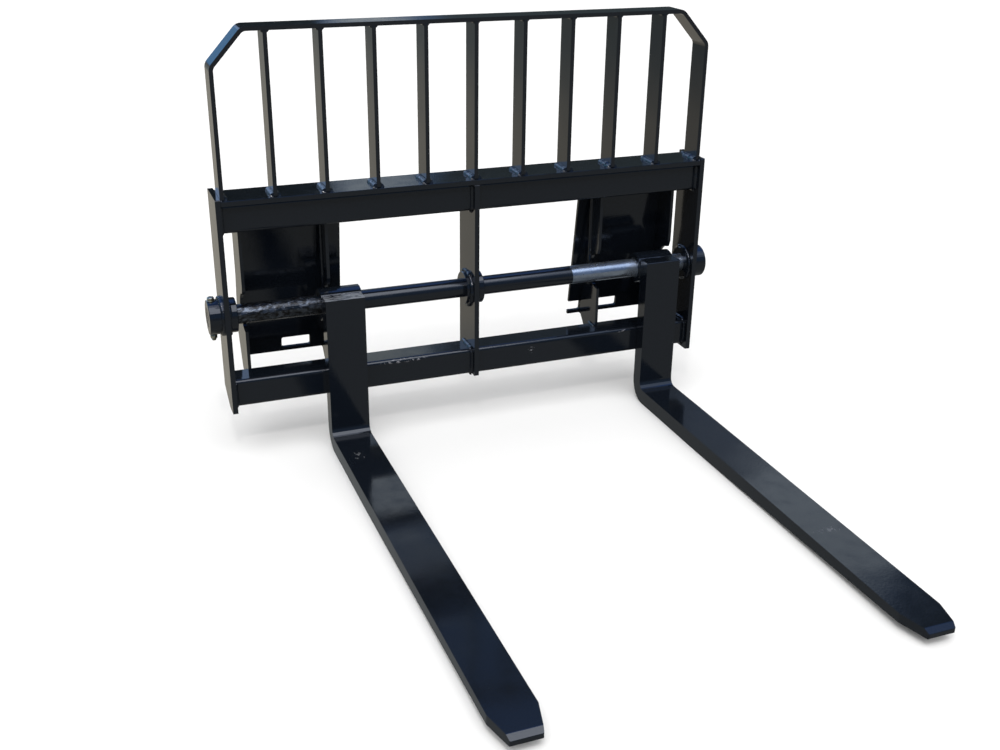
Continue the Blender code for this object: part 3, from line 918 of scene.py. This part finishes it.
@dataclass(frozen=True)
class Carriage:
    """Side and centre plates with the two beams between them, and the seams that hold them."""

    paint: bpy.types.Material
    shop: WeldShop
    leg: float = 0.0065
    end_gap: float = 0.0045
    top_leg: float = 0.0042
    top_gap: float = 0.004
    nose_leg: float = 0.005
    nose_gap: float = 0.002
    scratched_steel: Colour = (0.20, 0.20, 0.22)

    plates: ClassVar[tuple[str, ...]] = ("left_side_plate", "right_side_plate", "centre_plate")
    upper_beams: ClassVar[tuple[str, ...]] = ("upper_beam_left", "upper_beam_right")
    lower_beams: ClassVar[tuple[str, ...]] = ("lower_beam_left", "lower_beam_right")

    def beam_seams(self, node: str) -> list[Seam]:
        """Seams round both ends of one half beam.

        Args:
            node: The half beam.

        Returns:
            Its seams.
        """
        box = Box.of(node)
        depth = (box.low.y + self.end_gap, box.high.y - self.end_gap)
        height = (box.low.z + self.end_gap, box.high.z - self.end_gap)
        flats = [(box.low.z, -UP)]
        if node in self.lower_beams:
            flats.append((box.high.z, UP))
        seams: list[Seam] = []
        for x, side in box.ends:
            inward = RIGHT * -side
            for y, wall in ((box.low.y, -BACK), (box.high.y, BACK)):
                seams.append(StraightSeam.upright(x, y, height, wall, inward, self.leg))
            for z, wall in flats:
                seams.append(StraightSeam.deep(x, depth, z, wall, inward, self.leg))
        return seams

    def top_plate_seams(self) -> list[Seam]:
        """Seams of the top plate with the side plates and with the centre plate's nose."""
        plate, centre = Box.of("top_plate"), Box.of("centre_plate")
        depth = (plate.low.y + self.top_gap, plate.high.y - self.top_gap)
        nose = (centre.low.y + self.nose_gap, Box.of(self.upper_beams[0]).low.y)
        seams: list[Seam] = []
        for x, side in plate.ends:
            z, inward = plate.high.z, RIGHT * -side
            seams.append(StraightSeam.deep(x, depth, z, UP, inward, self.top_leg))
        for x, side in centre.ends:
            z, outward = plate.low.z, RIGHT * side
            seams.append(StraightSeam.deep(x, nose, z, -UP, outward, self.nose_leg))
        return seams

    def beam_scuffs(self) -> tuple[Scuff, ...]:
        """Scratches on the front top edges of the lower beams."""
        left, right = (Box.of(node) for node in self.lower_beams)
        edge = Vector((0.0, left.low.y + 0.002, left.high.z - 0.006))
        long_rub = edge + RIGHT * (left.high.x - 0.190)
        chip = edge + RIGHT * (right.low.x + 0.160) - UP * 0.020
        short_rub = edge + RIGHT * (right.high.x - 0.205)
        return (
            Scuff(long_rub, Vector((0.070, 0.012, 0.006))),
            Scuff(chip, Vector((0.012, 0.012, 0.010))),
            Scuff(short_rub, Vector((0.022, 0.012, 0.004))),
        )

    def build(self) -> None:
        """Dress the frame's nodes and add the seams."""
        dress((*self.plates, *self.upper_beams, "top_plate"), self.paint)
        scuffed = GlossPaint(
            name="scuffed_beam_paint", scuffs=self.beam_scuffs(), rub=self.scratched_steel
        )
        dress(self.lower_beams, scuffed.material())
        beams = (*self.upper_beams, *self.lower_beams)
        seams = [seam for node in beams for seam in self.beam_seams(node)]
        batch = self.shop.lay(seams + self.top_plate_seams(), seed=11)
        batch.piece("carriage_welds", "carriage", self.paint, Slot.PAINT)


@dataclass(frozen=True)
class LoadGuard:
    """The bent outer bar, its upright bars and their welds."""

    paint: bpy.types.Material
    shop: WeldShop
    bar_count: int = 9
    foot_leg: float = 0.0095
    foot_gap: float = 0.001
    head_leg: float = 0.0045
    head_gap: float = 0.002

    def foot_seam(self, x: float, upright: Box, side: int) -> Seam:
        """The seam at the foot of an upright.

        Args:
            x: X of the welded face.
            upright: The upright's box.
            side: Sign of X that the welded face looks to.

        Returns:
            The seam.
        """
        depth = (upright.low.y + self.foot_gap, upright.high.y - self.foot_gap)
        return StraightSeam.deep(x, depth, upright.low.z, UP, RIGHT * side, self.foot_leg)

    def head_seam(self, x: float, upright: Box, side: int) -> Seam:
        """The seam at the head of an upright bar, under the top rail.

        Args:
            x: X of the welded face.
            upright: The bar's box.
            side: Sign of X that the welded face looks to.

        Returns:
            The seam.
        """
        depth = (upright.low.y + self.head_gap, upright.high.y - self.head_gap)
        return StraightSeam.deep(x, depth, upright.high.z, -UP, RIGHT * side, self.head_leg)

    def build(self) -> None:
        """Dress the guard's nodes and add the seams."""
        bars = [f"guard_bar_{index + 1}" for index in range(self.bar_count)]
        dress(["guard_frame", *bars], self.paint)
        seams: list[Seam] = []
        for box in map(Box.of, bars):
            seams += [self.foot_seam(x, box, side) for x, side in box.ends]
            seams += [self.head_seam(x, box, side) for x, side in box.ends]
        guard, thickness = Box.of("guard_frame"), Box.of(bars[0]).size.x
        for x, side in guard.ends:
            seams.append(self.foot_seam(x - side * thickness, guard, -side))
        batch = self.shop.lay(seams, seed=211)
        batch.piece("guard_welds", "carriage", self.paint, Slot.PAINT)


@dataclass(frozen=True)
class ShaftGroup:
    """The shaft with its bosses, collars and retaining bolt.

    The profiles of the bolt and nut are heights and radii. The washer's start at its seat; the
    head's and the nut's are heights from one end and shares of the corner radius.
    """

    paint: bpy.types.Material
    zinc: bpy.types.Material
    shop: WeldShop
    leg: float = 0.0068
    leg_share: float = 0.75
    end_round: float = 0.0016
    shaft_sides: int = 128
    shaft_spans: int = 24
    seat_sink: float = 0.0006
    washer: tuple[Span, ...] = ((0.0, 0.0104), (0.0013, 0.0107), (0.0018, 0.0098))
    head_foot: tuple[Span, ...] = ((0.0016, 0.88), (0.0026, 1.0))
    head_crown: tuple[Span, ...] = ((-0.0014, 1.0), (-0.0003, 0.87), (0.0, 0.74))
    nut_chamfer: float = 0.0012
    nut_flat: float = 0.86
    thread_pitch: float = 0.0015
    thread_start: float = 0.004
    thread_crest: float = 0.0060
    thread_root: float = 0.0052
    thread_end: float = 0.0046

    rings: ClassVar[tuple[tuple[str, str, int], ...]] = (
        ("left_outer_boss", "left_side_plate", -1),
        ("left_inner_collar", "left_side_plate", 1),
        ("centre_left_collar", "centre_plate", -1),
        ("centre_right_collar", "centre_plate", 1),
        ("right_inner_collar", "right_side_plate", -1),
        ("right_outer_boss", "right_side_plate", 1),
    )

    def zones(self) -> tuple[ShaftZone, ...]:
        """Stretches of the shaft rubbed bare by the two sleeves."""
        left_collar, left = Box.of("left_inner_collar"), Box.of("left_fork_sleeve")
        right, right_collar = Box.of("right_fork_sleeve"), Box.of("right_inner_collar")
        return (
            ShaftZone(
                start=left_collar.high.x + 0.003,
                end=left.high.x,
                rag=0.03,
                wear=0.56,
                brightness=0.05,
                rings=left.low.x - 0.012,
            ),
            ShaftZone(
                start=right.low.x - 0.197,
                end=right_collar.low.x,
                rag=0.012,
                wear=0.68,
                brightness=0.88,
                rings=right.low.x - 0.012,
            ),
        )

    def ring_seams(self) -> list[Seam]:
        """The seam of each boss and collar with its plate."""
        seams: list[Seam] = []
        for node, plate, side in self.rings:
            ring, wall = Box.of(node), Box.of(plate)
            x = wall.low.x if side < 0 else wall.high.x
            centre = Vector((x, ring.middle.y, ring.middle.z))
            leg = min(self.leg, ring.size.x * self.leg_share)
            seams.append(RingSeam(centre, ring.size.z / 2, RIGHT * side, leg))
        return seams

    def turn_shaft(self) -> None:
        """Stand a finely turned bar with rounded ends in for the shaft's node."""
        box = Box.of("shaft")
        length, edge = box.size.x, self.end_round
        spans = self.shaft_spans
        corner = [(0.0, -edge), (edge * 0.3, -edge * 0.3), (edge, 0.0)]
        stations = corner + [(length * step / spans, 0.0) for step in range(1, spans)]
        stations += [(length - along, grow) for along, grow in reversed(corner)]
        rows = []
        for along, grow in stations:
            centre = Vector((box.low.x + along, box.middle.y, box.middle.z))
            rows.append(circle(centre, BACK, UP, box.size.z / 2 + grow, self.shaft_sides))
        lathe = Batch()
        lathe.skin(rows)
        finish = ScrapedShaft(self.zones()).material()
        bar = lathe.piece("turned_shaft", "carriage", finish, Slot.SHAFT)
        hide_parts("shaft")
        dress(["shaft", "left_fork_bushing", "right_fork_bushing"], finish)

    def cut_bolt(self) -> None:
        """Stand a hex head on a washer, a threaded end and a nut in for the plain bolt and nut."""
        bolt, nut, boss = (
            Box.of(node) for node in ("retaining_bolt", "retaining_nut", "left_outer_boss")
        )
        middle = Vector((bolt.middle.x, bolt.middle.y, 0.0))
        seat = boss.high.z - self.seat_sink
        corner = bolt.size.x / 2
        head = Batch()
        head.skin(self.stack(middle, [(seat + z, radius) for z, radius in self.washer], 32))
        cap = [(seat + z, corner * share) for z, share in self.head_foot]
        cap += [(bolt.high.z + z, corner * share) for z, share in self.head_crown]
        head.skin(self.stack(middle, cap, 6))
        head_piece = head.piece("bolt_head", "carriage", self.zinc, Slot.ZINC)
        thread = Batch()
        thread.skin(self.stack(middle, self.thread_profile(bolt, boss), 24))
        thread.piece("bolt_thread", "carriage", self.zinc, Slot.ZINC)
        corner = nut.size.x / 2
        faces = [
            (nut.high.z, corner * self.nut_flat),
            (nut.high.z - self.nut_chamfer, corner),
            (nut.low.z + self.nut_chamfer, corner),
            (nut.low.z, corner * self.nut_flat),
        ]
        collar = Batch()
        collar.skin(self.stack(middle, faces, 6))
        nut_piece = collar.piece("hex_nut", "carriage", self.zinc, Slot.ZINC)
        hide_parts("retaining_bolt")
        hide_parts("retaining_nut")

    def stack(self, middle: Vector, profile: Iterable[Span], sides: int) -> list[list[Vector]]:
        """Level rings one above the other.

        Args:
            middle: A point on their axis at height 0.
            profile: Height and radius of each ring.
            sides: How many points each has.

        Returns:
            One row of points per ring.
        """
        return [circle(middle + UP * z, RIGHT, BACK, radius, sides, 0.5) for z, radius in profile]

    def thread_profile(self, bolt: Box, boss: Box) -> list[Span]:
        """Heights and radii of the bolt's threaded end, from inside the boss down.

        Args:
            bolt: The bolt's box.
            boss: The boss's box.

        Returns:
            The profile.
        """
        start, pitch = boss.low.z - self.thread_start, self.thread_pitch
        profile: list[Span] = []
        for step in range(int((start - bolt.low.z) / pitch)):
            crest = start - step * pitch
            profile += [(crest, self.thread_crest), (crest - pitch * 0.5, self.thread_root)]
        return [*profile, (bolt.low.z, self.thread_end)]

    def build(self) -> None:
        """Dress the nodes, add the ring seams and the bolt."""
        dress([node for node, _, _ in self.rings], self.paint)
        self.turn_shaft()
        self.cut_bolt()
        batch = self.shop.lay(self.ring_seams(), seed=401)
        batch.piece("ring_welds", "carriage", self.paint, Slot.PAINT)


@dataclass(frozen=True)
class QuickAttach:
    """The two hooked plates at the back with the gussets that hold them."""

    paint: bpy.types.Material
    shop: WeldShop
    leg: float = 0.005
    front_gap: float = 0.005
    foot_gap: float = 0.11
    head_gap: float = 0.05

    def side_seams(self, side: Side) -> list[Seam]:
        """Seams of one inner gusset with its plate and both beams.

        Args:
            side: The half of the attachment.

        Returns:
            The seams.
        """
        plate = Box.of("quick_attach_plate_" + side.word)
        gusset = Box.of("inner_gusset_" + side.word)
        upper, lower = Box.of("upper_beam_" + side.word), Box.of("lower_beam_" + side.word)
        height = (lower.high.z + self.foot_gap, upper.high.z - self.head_gap)
        front = gusset.low.y + self.front_gap
        seams: list[Seam] = []
        for x, sign in gusset.ends:
            out = RIGHT * sign
            seams.append(StraightSeam.upright(x, plate.low.y, height, -BACK, out, self.leg))
            for beam, z, wall in ((upper, upper.low.z, -UP), (lower, lower.high.z, UP)):
                seams.append(StraightSeam.deep(x, (front, beam.high.y), z, wall, out, self.leg))
        return seams

    def build(self) -> None:
        """Dress the nodes and add the seams between plates and gussets."""
        for side in Side:
            names = ("quick_attach_plate_", "inner_gusset_", "end_gusset_")
            dress([name + side.word for name in names], self.paint)
        seams = [seam for side in Side for seam in self.side_seams(side)]
        batch = self.shop.lay(seams, seed=601)
        batch.piece("gusset_welds", "carriage", self.paint, Slot.PAINT)


@dataclass(frozen=True)
class Fork:
    """One fork: its sleeve on the shaft, its forged L and the welds between them."""

    side: Side
    shop: WeldShop
    sleeve_paint: bpy.types.Material
    worn_top: bool = False
    blade_top: float = 0.040
    weld_leg: float = 0.010
    weld_rise: float = 0.0255
    weld_gap: float = 0.001

    def scuffs(self, tine: Box) -> tuple[Scuff, ...]:
        """Scratches on the blade's top face.

        Args:
            tine: The forged L's box.

        Returns:
            The patches.
        """
        if self.side is Side.LEFT:
            heel = Vector((tine.low.x + 0.040, tine.high.y - 0.165, self.blade_top))
            return (Scuff(heel, Vector((0.020, 0.030, 0.02))),)
        line = Vector((tine.middle.x, tine.low.y + 0.395, self.blade_top))
        dent = Vector((tine.middle.x + 0.022, tine.low.y + 0.392, self.blade_top))
        return (
            Scuff(line, Vector((0.046, 0.012, 0.02))),
            Scuff(dent, Vector((0.013, 0.014, 0.02))),
        )

    def seams(self, tine: Box, sleeve: Box) -> list[Seam]:
        """Seams above and below the sleeve on the back of the forged L.

        Args:
            tine: The forged L's box.
            sleeve: The sleeve's box.

        Returns:
            The seams.
        """
        seams: list[Seam] = []
        for rise in (-1, 1):
            z = sleeve.middle.z + rise * self.weld_rise
            start = Vector((tine.low.x + self.weld_gap, tine.high.y, z))
            end = Vector((tine.high.x - self.weld_gap, tine.high.y, z))
            lean = (BACK * 0.8 + UP * rise * 0.6).normalized()
            seams.append(StraightSeam(start, end, UP * rise, lean, self.weld_leg))
        return seams

    def build(self) -> None:
        """Dress the two nodes and add the welds."""
        word = self.side.word
        tine, sleeve = Box.of(word + "_fork_tine"), Box.of(word + "_fork_sleeve")
        finish = GlossPaint(
            name=word + "_tine_paint",
            scuffs=self.scuffs(tine),
            worn_above=tine.high.z if self.worn_top else math.inf,
        )
        tine_paint = finish.material()
        dress([word + "_fork_tine"], tine_paint)
        dress([word + "_fork_sleeve"], self.sleeve_paint)
        batch = self.shop.lay(self.seams(tine, sleeve), seed=701 + self.side.value)
        batch.piece(word + "_fork_welds", word + "_fork", tine_paint, Slot.PAINT)


# --------------------------------------------------------------------------------------------------
# Studio
# --------------------------------------------------------------------------------------------------


@dataclass(frozen=True)
class Glow:
    """A soft patch of light or shade in the sky, seen only in the paint.

    It fades from its core, a share of the spread, to nothing at its spread, both in degrees.
    """

    turn: float
    rise: float
    spread: float
    colour: Colour
    core: float = 0.0

    @property
    def direction(self) -> Vector:
        """Where the patch is, as a unit vector."""
        turn, rise = math.radians(self.turn), math.radians(self.rise)
        level = math.cos(rise)
        return Vector((math.sin(turn) * level, math.cos(turn) * level, math.sin(rise)))

    def lay_over(self, bench: NodeBench, under: Any) -> Any:
        """Lay the patch over the sky.

        Args:
            bench: The world's nodes.
            under: Colour socket of the sky so far.

        Returns:
            The new colour socket.
        """
        dot = bench.node("VectorMath", operation="DOT_PRODUCT")
        bench.plug(dot.inputs[0], bench.place)
        bench.plug(dot.inputs[1], self.direction)
        share = bench.node("MapRange", interpolation_type="SMOOTHSTEP")
        rim = math.cos(math.radians(self.spread))
        heart = math.cos(math.radians(self.spread * self.core))
        bench.feed(share, Value=dot.outputs["Value"], From_Min=rim, From_Max=heart)
        return bench.mix(share.outputs["Result"], under, self.colour)


@dataclass(frozen=True)
class Sun:
    """Even light on the floor from one side, with no glint in the paint."""

    name: str
    toward: Place
    width: float
    strength: float

    def hang(self) -> None:
        """Add the sun to the scene."""
        data = bpy.data.lights.new(self.name, "SUN")
        data.angle = math.radians(self.width)
        data.energy = self.strength
        data.specular_factor = 0.0
        light = bpy.data.objects.new(self.name, data)
        light.rotation_euler = Vector(self.toward).to_track_quat("-Z", "Y").to_euler()
        bpy.context.scene.collection.objects.link(light)


@dataclass(frozen=True)
class SquareLight:
    """A soft square light: where it hangs, what it points at, its side, watts and tint."""

    name: str
    place: Place
    target: Place
    side: float
    power: float
    colour: Colour

    def hang(self) -> None:
        """Add the light to the scene."""
        data = bpy.data.lights.new(self.name, "AREA")
        data.shape = "SQUARE"
        data.size = self.side
        data.energy = self.power
        data.color = self.colour
        light = bpy.data.objects.new(self.name, data)
        light.location = self.place
        aim = Vector(self.target) - Vector(self.place)
        light.rotation_euler = aim.to_track_quat("-Z", "Y").to_euler()
        bpy.context.scene.collection.objects.link(light)


@dataclass(frozen=True)
class Studio:
    """Pale floor, soft sky, lights and the camera.

    The floor's bands are the X and Y places between which its tint, as the gloss paint sees it,
    turns from one to the next. Its dark tint behind the carriage is a painted shadow of the
    carriage, which the carriage shadow band pushes further back on the right.
    """

    camera_place: Place = (-1.0043, -2.2212, 1.4576)
    camera_yaw: float = -0.3703
    camera_pitch: float = -0.4211
    camera_roll: float = 0.0130
    lens: float = 42.756
    sensor: float = 36.0
    far_clip: float = 200.0
    floor_half: float = 40.0
    floor_height: float = -0.0005
    floor_colour: Colour = (0.80, 0.80, 0.80)
    # The dark tint is the floor in front and, behind the carriage, its painted shadow.
    floor_seen_in_paint: Colour = (0.26, 0.275, 0.28)
    floor_seen_behind: Colour = (0.46, 0.435, 0.375)
    floor_seen_aside: Colour = (0.23, 0.26, 0.26)
    behind_band: Span = (0.45, 1.0)
    aside_band: Span = (-2.3, -1.2)
    # Painted shadow of the carriage on the floor seen in the paint: the X band where it reaches
    # further back, and how far.
    carriage_shadow_band: Span = (-0.60, -0.10)
    carriage_shadow_reach: float = 0.45
    daylight: Colour = (0.90, 0.90, 0.90)
    lights: tuple[Sun | SquareLight, ...] = (
        Sun("daylight", (0.15, 0.45, -1.0), 60.0, 1.7),
        SquareLight("key", (-1.2, -2.6, 4.2), (0.0, 0.2, 0.3), 0.3, 34.0, (1.0, 0.98, 0.95)),
    )
    sky: tuple[tuple[float, Colour], ...] = (
        (0.00, (0.20, 0.19, 0.175)),
        (0.06, (0.09, 0.14, 0.24)),
        (0.30, (0.10, 0.19, 0.36)),
        (0.62, (0.10, 0.17, 0.35)),
        (0.85, (0.17, 0.42, 1.25)),
    )
    glows: tuple[Glow, ...] = (
        Glow(150.0, 58.0, 28.0, (1.05, 1.30, 1.80)),
        Glow(-55.0, 14.0, 30.0, (0.36, 0.90, 1.45)),
        Glow(-17.0, 22.0, 20.0, (1.15, 1.65, 2.60)),
        Glow(-10.0, 7.5, 5.5, (0.18, 0.42, 0.78), 0.6),
        Glow(5.0, 8.0, 8.2, (0.016, 0.022, 0.024), 0.9),
        Glow(5.0, 15.0, 8.2, (0.016, 0.022, 0.024), 0.9),
        Glow(5.5, 24.0, 6.0, (0.030, 0.040, 0.055), 0.8),
        Glow(27.0, 6.0, 10.0, (0.05, 0.065, 0.07), 0.8),
        Glow(27.0, 14.0, 10.0, (0.05, 0.065, 0.07), 0.8),
        Glow(24.5, 23.0, 7.0, (0.07, 0.09, 0.11), 0.8),
        Glow(15.1, 9.0, 2.4, (0.50, 0.55, 0.58), 0.75),
        Glow(15.1, 15.3, 2.4, (0.52, 0.60, 0.68), 0.75),
        Glow(14.6, 23.5, 3.2, (0.58, 0.66, 0.70), 0.8),
        Glow(33.5, 27.5, 5.0, (0.22, 0.27, 0.36), 0.3),
        Glow(38.6, 29.8, 4.8, (0.82, 0.95, 1.10), 0.55),
        Glow(51.0, 34.0, 8.0, (0.03, 0.04, 0.05), 0.6),
        Glow(15.0, 29.7, 2.6, (0.75, 0.85, 0.95), 0.3),
        Glow(17.5, 33.5, 2.6, (0.30, 0.36, 0.45), 0.3),
    )

    def add_camera(self) -> None:
        """Create the camera and make it the scene's own."""
        data = bpy.data.cameras.new("view")
        data.sensor_width = self.sensor
        data.lens = self.lens
        data.clip_end = self.far_clip
        camera = bpy.data.objects.new("view", data)
        turn = (
            Matrix.Rotation(self.camera_yaw, 4, "Z")
            @ Matrix.Rotation(math.pi / 2 + self.camera_pitch, 4, "X")
            @ Matrix.Rotation(self.camera_roll, 4, "Z")
        )
        camera.matrix_world = Matrix.Translation(self.camera_place) @ turn
        bpy.context.scene.collection.objects.link(camera)
        bpy.context.scene.camera = camera

    def floor_tint(self, bench: NodeBench) -> Any:
        """The floor's colour as the gloss paint sees it, darker than it is so that it stays black,
        with a painted shadow of the carriage behind it.

        Args:
            bench: The floor's material.

        Returns:
            The colour socket.
        """
        # Painted shadow of the carriage, seen only in the paint: on the right the dark tint reaches
        # further back.
        shade = bench.ramp(bench.axis("X"), self.carriage_shadow_band, (0.0, self.carriage_shadow_reach))
        behind = bench.ramp(bench.minus(bench.axis("Y"), shade), self.behind_band)
        aside = bench.ramp(bench.axis("X"), self.aside_band, (1.0, 0.0))
        tint = bench.mix(behind, self.floor_seen_in_paint, self.floor_seen_behind)
        return bench.mix(bench.times(aside, behind), tint, self.floor_seen_aside)

    def add_floor(self) -> None:
        """Lay the pale floor under the forks."""
        mesh = bpy.data.meshes.new("floor")
        near, far = -self.floor_half, self.floor_half
        corners = [(near, near, 0), (far, near, 0), (far, far, 0), (near, far, 0)]
        mesh.from_pydata(corners, [], [(0, 1, 2, 3)])
        floor = bpy.data.objects.new("floor", mesh)
        floor.location.z = self.floor_height
        bpy.context.scene.collection.objects.link(floor)
        bench = MaterialBench("studio_floor")
        colour = (*self.floor_colour, 1.0)
        bench.feed(bench.shader, Base_Color=colour, Roughness=1.0, Specular_IOR_Level=0.0)
        mirrored = bench.feed(bench.node("Emission"), Color=self.floor_tint(bench))
        blend = bench.node("MixShader")
        parts = (
            bench.node("LightPath").outputs["Is Camera Ray"],
            mirrored.outputs[0],
            bench.shader.outputs[0],
        )
        for socket, part in zip(blend.inputs, parts):
            bench.plug(socket, part)
        bench.plug(bench.tree.nodes["Material Output"].inputs["Surface"], blend.outputs[0])
        mesh.materials.append(bench.material)

    def add_sky(self) -> None:
        """Surround the studio with even daylight; the paint sees a blue gradient and its glows."""
        world = bpy.data.worlds.new("studio_world")
        world.use_nodes = True
        bench = NodeBench(world.node_tree, "Generated")
        ramp = bench.node("ValToRGB")
        stops = ramp.color_ramp.elements
        while len(stops) < len(self.sky):
            stops.new(0.5)
        for stop, (position, colour) in zip(stops, self.sky):
            stop.position = position
            stop.color = (*colour, 1.0)
        mirrored = bench.feed(ramp, Fac=bench.axis("Z")).outputs["Color"]
        for glow in self.glows:
            mirrored = glow.lay_over(bench, mirrored)
        in_paint = bench.node("LightPath").outputs["Is Glossy Ray"]
        seen = bench.mix(in_paint, self.daylight, mirrored)
        bench.plug(bench.tree.nodes["Background"].inputs["Color"], seen)
        bpy.context.scene.world = world

    def build(self) -> None:
        """Set up the whole studio."""
        self.add_camera()
        self.add_floor()
        self.add_sky()
        for light in self.lights:
            light.hang()
        bpy.context.scene.view_settings.view_transform = "Standard"
        LOG.info("studio: camera, floor, sky, %d lights", len(self.lights))


def main() -> None:
    """Build the looks of every sub-assembly in order."""
    logging.basicConfig(level=logging.INFO, format="%(name)s %(message)s")
    Studio().build()
    paint = GlossPaint().material()
    shop = WeldShop()
    Carriage(paint, shop).build()
    LoadGuard(paint, shop).build()
    ring_shop = WeldShop(
        WeldBead(pitch=0.0062, ripple=0.34, lump=0.55, crown=0.42), spatter_per_metre=60.0
    )
    ShaftGroup(paint, ZincPlate().material(), ring_shop).build()
    QuickAttach(paint, shop).build()
    Fork(Side.LEFT, shop, paint, worn_top=True).build()
    Fork(Side.RIGHT, shop, paint).build()


if __name__ == "__main__":
    main()
